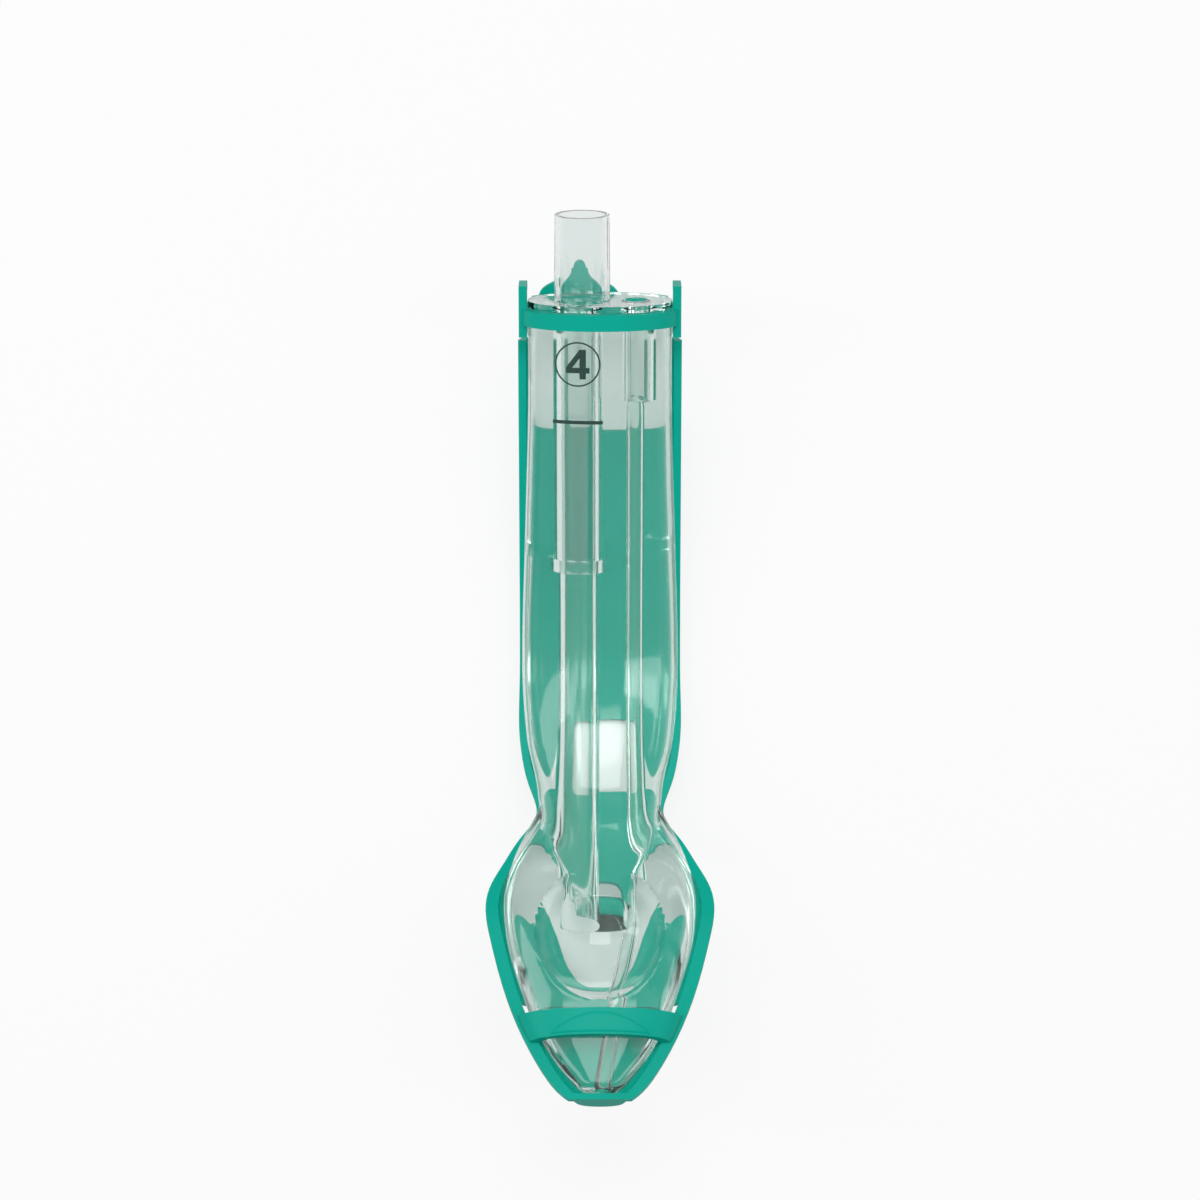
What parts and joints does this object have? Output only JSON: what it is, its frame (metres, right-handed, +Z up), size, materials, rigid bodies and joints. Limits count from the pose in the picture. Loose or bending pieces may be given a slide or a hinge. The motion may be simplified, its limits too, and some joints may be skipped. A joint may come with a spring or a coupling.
{
  "type": "laryngeal mask airway",
  "caption": "Adult laryngeal mask airway with a soft clear cuff and stem, a clear 15 mm connector and a hook ring, lying in its green cradle.",
  "frame": {"origin": "centre of the footprint, on the surface that the cradle lies on", "axes": "+Y from the tip of the cuff to the connector, +Z up from the surface to the open side of the cuff, +X across"},
  "size_m": [0.0642, 0.2484, 0.0628],
  "materials": {
    "clear_gel": "satin",
    "clear_plastic": "polished",
    "green_plastic": "satin"
  },
  "bodies": {
    "root": {"airway_body": "clear_gel", "connector": "clear_plastic", "hook_ring": "green_plastic", "cradle": "green_plastic"}
  },
  "joints": []
}
